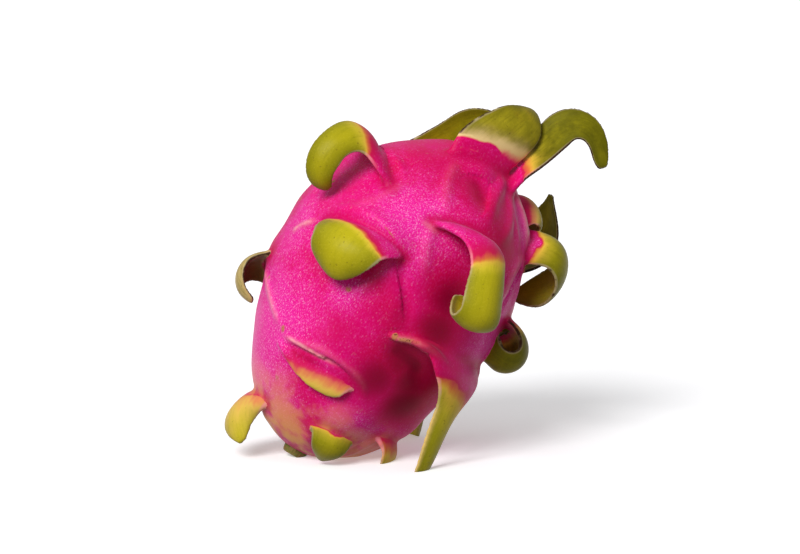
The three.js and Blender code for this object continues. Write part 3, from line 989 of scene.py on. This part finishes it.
# Colours of the skin, and then of the scales
DEEP_SKIN = tint(212, 0, 88)
BRIGHT_SKIN = tint(222, 2, 112)
LIGHT_SKIN = tint(236, 36, 158)
NET = tint(242, 60, 172)
FLECK = tint(250, 166, 216)
SHADE_CRIMSON = tint(176, 0, 50)
DARKEST_SHADE = tint(112, 0, 34)
PALE_AND_HIGHLIGHT_LINE = tint(244, 176, 170)
SCUFF = tint(186, 104, 84)
CORK = tint(186, 122, 78)
CORK_PITS = tint(104, 52, 34)
STEM_YELLOW = tint(236, 178, 84)

CREAM = tint(230, 200, 138)
BRIGHT_MIDDLE = tint(224, 206, 30)
GREEN_SIDE = tint(124, 118, 20)
GREEN_STREAK = tint(132, 130, 8)
OLIVE = tint(92, 88, 4)
AGED_STREAK = tint(58, 52, 6)
STRAW = tint(204, 178, 118)
DARK_STRAW = tint(160, 138, 80)
DRY_INSIDE = tint(104, 84, 50)
YELLOW_DOT = tint(232, 214, 70)
BROWN_PIT = tint(96, 76, 20)
FLUSH = tint(150, 74, 30)
PINK_RIM = tint(240, 150, 160)
PALE_RIM = tint(190, 172, 136)
WITHERED = tint(58, 34, 16)
TAN_SEAM = tint(226, 188, 108)

# Colours of a scale's two sides from root to tip: share of the way, and colour
UPPER_SIDE = [(0.0, 220, 2, 96), (0.27, 224, 10, 98), (0.33, 228, 52, 92), (0.37, 228, 120, 74),
              (0.41, 234, 186, 76), (0.5, 230, 204, 66), (0.64, 220, 200, 50), (0.84, 192, 174, 26),
              (1.0, 140, 122, 12)]
UNDER_SIDE = [(0.0, 186, 4, 76), (0.3, 206, 24, 78), (0.36, 216, 112, 60), (0.42, 228, 184, 66),
              (0.53, 206, 184, 50), (0.66, 164, 156, 20), (1.0, 128, 122, 8)]


def rind_finish():
    f = Finish("rind")
    drawn = f.drawn_out(0.6)
    tone, rim, under, on_leaf = f.channels("leaf")
    across, length, dry, own = f.channels("grain")
    pale, cork, deep, stem_end = f.channels("marks")
    cream, papery, seam, _ = f.channels("nature")
    haze_and_highlight = f.channels("bloom_and_highlight")[0]
    tone = tone * 3.0

    # skin: crimson to magenta, hazy in places with bloom and painted highlight, with a fine pale net and
    # dense small flecks
    patch = f.noise(6)
    fine = f.noise(0.65, 3, 0.6, drawn)
    grit = f.noise(0.4, 2, 0.5, drawn)
    haze_and_highlight = (haze_and_highlight + (patch - 0.5) * 0.9) * f.span(deep, 0.1, 0.8, 1.0, 0.0)
    net = f.span(fine, 0.47, 0.64) * f.span(haze_and_highlight, -0.2, 1.0, 0.2, 0.75)
    cell = f.node("TexVoronoi", "Distance", {"Vector": drawn, "Scale": 1 / MM})
    dots = f.span(cell, 0.14, 0.34, 1, 0) * f.span(f.noise(1.8, 2), 0.4, 0.6)
    fleck = f.math("MAXIMUM", dots, f.span(grit, 0.54, 0.68) * f.span(haze_and_highlight, 0, 1, 0.15, 1))
    fleck = fleck * f.span(haze_and_highlight, -0.2, 0.9, 0.13, 0.56) * f.span(deep, 0.1, 0.9, 1.0, 0.2)
    scuff = f.span(f.noise(1.3, 4, 0.7, drawn), 0.6, 0.68) * f.span(f.noise(20, 2), 0.42, 0.58)
    yellow = stem_end * f.span(f.noise(14), 0.42, 0.62)
    corky = f.span(cork + f.noise(0.8, 4, 0.7) * 0.9, 0.8, 1.25)
    skin = f.coats(
        f.mix(f.span(f.noise(30, 2), 0.38, 0.66), DEEP_SKIN, BRIGHT_SKIN),
        # painted highlight: lighter skin laid by the bloom spots, partly wax bloom, with the pale net and
        # flecks stronger there too
        (f.span(haze_and_highlight, 0.0, 1.1, 0, 0.75), LIGHT_SKIN),
        (net, NET),
        (fleck, FLECK),
        (scuff * 0.5, SCUFF),
        # painted shade: darker and darkest red where the skin lies in hollows, creases and round the roots
        (f.span(deep, 0.0, 0.9, 0, 0.8, False), SHADE_CRIMSON),
        (f.span(deep, 0.4, 1.15, 0, 0.85), DARKEST_SHADE),
        # pale lines, partly the skin's own and partly painted highlight and painted reflection along ridges
        (pale * f.span(f.noise(2.5), 0.3, 0.6, 0.5, 0.95), PALE_AND_HIGHLIGHT_LINE),
        (yellow * 0.85, STEM_YELLOW),
        (corky * 0.9, CORK),
        (f.span(corky, 0.75, 1) * f.span(f.noise(0.7, 2), 0.5, 0.62), CORK_PITS))

    # scales: crimson, a narrow orange band, yellow, then yellow-green to olive
    fibre = f.vector(across * 0.1, length * 0.012, own * 0.3)
    streak = f.noise(0.8, 4, 0.6, fibre)
    wander = (f.noise(2.2, where=fibre) - 0.5) * 0.22 + (f.noise(7) - 0.5) * 0.32
    ripe = f.math("DIVIDE", tone + wander * f.span(tone, 0.2, 1), 3.0)
    on_green = f.span(ripe, 0.38, 0.52)
    aged = f.span(dry, 0.1, 0.75) * on_green
    dot = f.span(f.noise(0.6, 3, 0.7), 0.5, 0.7) * (on_green - aged * 0.8)
    pit = f.span(f.noise(1.1, 2, 0.5), 0.66, 0.74) * on_green
    # a thin pale line on the rims, partly the scale's own pale edge and partly painted highlight where the
    # edges catch the light
    line = f.span(rim, 0.88, 0.97) * f.span(f.noise(5), 0.3, 0.6, 0.4, 1)
    leaf = f.coats(
        f.mix(under, f.ramp(ripe, UPPER_SIDE), f.ramp(ripe, UNDER_SIDE)),
        (f.span(ripe, 0.25, 0.37) * f.span(ripe, 0.42, 0.6, 1, 0) * cream, CREAM),
        (f.span(rim, 0.05, 0.8, 1, 0) * on_green * 0.3, BRIGHT_MIDDLE),
        (f.span(rim + patch * 0.3, 0.65, 1.15) * on_green * 0.55, GREEN_SIDE),
        (on_green * f.span(streak, 0.45, 0.8, 0, 0.3), GREEN_STREAK),
        (aged * f.span(patch, 0.3, 0.7, 0.95, 0.65), OLIVE),
        (aged * f.span(streak, 0.4, 0.75, 0, 0.22), AGED_STREAK),
        (papery * under, f.mix(f.span(streak, 0.4, 0.7), STRAW, DARK_STRAW)),
        (papery * (0.9 - under), DRY_INSIDE),
        (dot * 0.16, YELLOW_DOT),
        (pit * 0.5, BROWN_PIT),
        (f.span(f.noise(11, 2), 0.55, 0.75, 0, 0.25) * (aged * (1.0 - under)), FLUSH),
        (line * 0.65, f.mix(on_green, PINK_RIM, PALE_RIM)),
        (f.span(rim, 0.93, 1.0) * f.span(dry + f.noise(3), 0.85, 1.1), WITHERED))
    colour = f.coats(
        skin, (on_leaf * f.span(tone, 0.55, 0.95), leaf),
        (seam * f.span(f.noise(3), 0.3, 0.6, 0.5, 0.95), TAN_SEAM))

    return f.done(colour, f.span(fine, 0.3, 0.7, 0.32, 0.46) + corky * 0.3,
                  {"Specular IOR Level": 0.08, "Sheen Weight": 0.12, "Sheen Roughness": 0.35,
                   "Sheen Tint": (0.85, 0.78, 1, 1)},
                  fine * 0.5 + grit * 0.2 + streak * on_leaf * 0.5 + corky * 0.8, 0.4, 0.22)


def husk_finish():
    """Papery dried flower: dark brown veins on tan, blackened towards the tips."""
    f = Finish("husk")
    length, across, own, strip = f.channels("strip")
    veins = f.noise(0.9, 3, 0.6, f.vector(across * 0.012, length * 0.003, own))
    blotch = f.noise(2.5, 4, 0.6)
    colour = f.coats(
        f.mix(f.span(blotch, 0.35, 0.65), tint(122, 78, 40), tint(178, 132, 78)),
        (f.span(veins, 0.45, 0.7, 0, 0.75), tint(70, 38, 20)),
        (f.span(length + (blotch - 0.5) * 0.9, 0.45, 0.95) * 0.9, tint(44, 26, 16)),
        (f.span(length, 0.0, 0.3, 1, 0) * strip, tint(172, 90, 60)))
    return f.done(colour, f.span(blotch, 0.3, 0.7, 0.6, 0.85), {"Specular IOR Level": 0.2},
                  veins + f.noise(0.5, 3, 0.6) * 0.6, 0.6, 0.25)


def stalk_finish():
    """Woody green-brown side with long fibres, and a pale cut end with rings round a darker pith."""
    f = Finish("stalk")
    radius, on_cut, _, _ = f.channels("cut")
    fibres = f.noise(0.5, 3, 0.6, f.drawn_out(0.15))
    blotch = f.noise(3, 3, 0.6)
    ringed = f.math("SINE", radius * 40.0) * 0.25 + blotch
    side = f.coats(
        f.mix(f.span(blotch, 0.35, 0.65), tint(104, 108, 44), tint(136, 104, 58)),
        (f.span(fibres, 0.45, 0.7, 0, 0.7), tint(74, 58, 30)))
    cut = f.coats(
        f.mix(f.span(ringed, 0.3, 0.75), tint(214, 190, 136), tint(168, 136, 84)),
        (f.span(radius, 0.14, 0.34, 1, 0), tint(112, 82, 46)),
        (f.span(radius, 0.74, 0.9, 0, 0.8), tint(96, 84, 40)))
    return f.done(f.mix(on_cut, side, cut), f.span(fibres, 0.3, 0.7, 0.55, 0.8),
                  {"Specular IOR Level": 0.2}, fibres, 0.6, 0.3)


def floor_finish():
    f = Finish("floor")
    colour = f.mix(f.span(f.noise(300, 2), 0.3, 0.7, 0, 0.3), tint(250, 250, 252), tint(247, 247, 251))
    return f.done(colour, 0.8, {"Emission Color": (1, 1, 1, 1), "Emission Strength": 0.28})


def dress(piece, material):
    piece.data.materials.clear()
    piece.data.materials.append(material)


# ---- studio

CAMERA_PLACE = (26.8, -1079.7, 221.4)
CAMERA_LOOKS_DOWN = 8
CAMERA_LENS = 126.9


def add_sun(name, direction, strength, softness):
    """A broad even light from a direction; softness is how wide it looks, in degrees."""
    bpy.ops.object.light_add(type="SUN", location=Vector(direction).normalized() * 3,
                             rotation=Vector(direction).to_track_quat("Z", "Y").to_euler())
    sun = bpy.context.object
    sun.name = name
    sun.data.energy, sun.data.angle = strength, math.radians(softness)


def set_studio():
    bpy.ops.object.select_all(action="DESELECT")
    bpy.ops.mesh.primitive_plane_add(size=40)
    floor = bpy.context.object
    floor.name = "floor"
    dress(floor, floor_finish())
    floor.visible_diffuse = False
    bpy.ops.object.camera_add(location=[x * MM for x in CAMERA_PLACE],
                              rotation=(math.radians(90 - CAMERA_LOOKS_DOWN), 0, 0))
    camera = bpy.context.object
    camera.data.lens = CAMERA_LENS
    camera.data.clip_start = 0.05
    scene = bpy.context.scene
    scene.camera = camera
    add_sun("key", (-0.5, -1, 0.85), 2.9, 30)
    add_sun("top", (-0.3, 0.2, 1), 0.3, 80)
    world = bpy.data.worlds.new("studio")
    scene.world = world
    world.use_nodes = True
    background = world.node_tree.nodes["Background"]
    background.inputs["Color"].default_value = (1, 1, 1, 1)
    background.inputs["Strength"].default_value = 0.3
    scene.view_settings.view_transform = "Standard"


rind = grow_rind(SCALES | far_scales())
flower_remains = dry_flower()
stalk_stub = cut_stalk()
settle([rind, flower_remains, stalk_stub])
for piece in (rind, stalk_stub):
    flatten_foot(piece)
for piece, finish in ((rind, rind_finish), (flower_remains, husk_finish), (stalk_stub, stalk_finish)):
    pick_only(piece)
    bpy.ops.object.shade_smooth()
    dress(piece, finish())
    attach(piece, "root")
    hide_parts("fruit")
set_studio()
